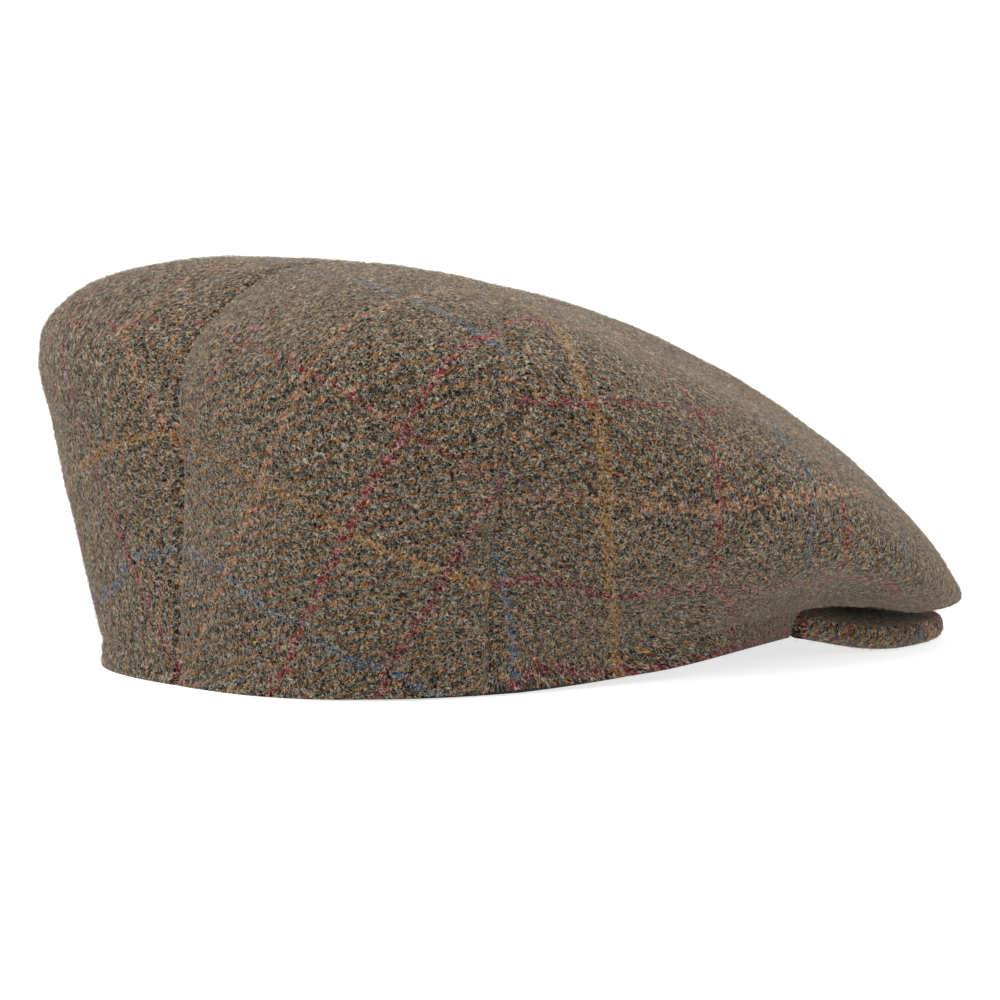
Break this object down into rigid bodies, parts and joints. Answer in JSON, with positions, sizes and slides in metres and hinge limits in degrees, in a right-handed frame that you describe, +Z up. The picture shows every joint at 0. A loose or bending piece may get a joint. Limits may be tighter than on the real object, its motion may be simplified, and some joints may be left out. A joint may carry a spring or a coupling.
{
  "type": "flat cap",
  "caption": "Soft flat cap in checked tweed: a three-panel crown turned under over a short covered peak, with a sweatband inside the rim.",
  "frame": {"origin": "on the surface the cap lies on, below the middle of its whole length and width", "axes": "+X forward along the peak, +Y to the wearer's left, +Z up"},
  "size_m": [0.2554, 0.22, 0.1147],
  "materials": {
    "tweed": "brushed checked wool tweed",
    "peak_tweed": "checked wool tweed over a board",
    "sweatband": "dark woven band"
  },
  "bodies": {
    "root": {"front_panel": "tweed", "back_panel_right": "tweed", "back_panel_left": "tweed", "peak": "peak_tweed", "sweatband": "sweatband"}
  },
  "joints": []
}
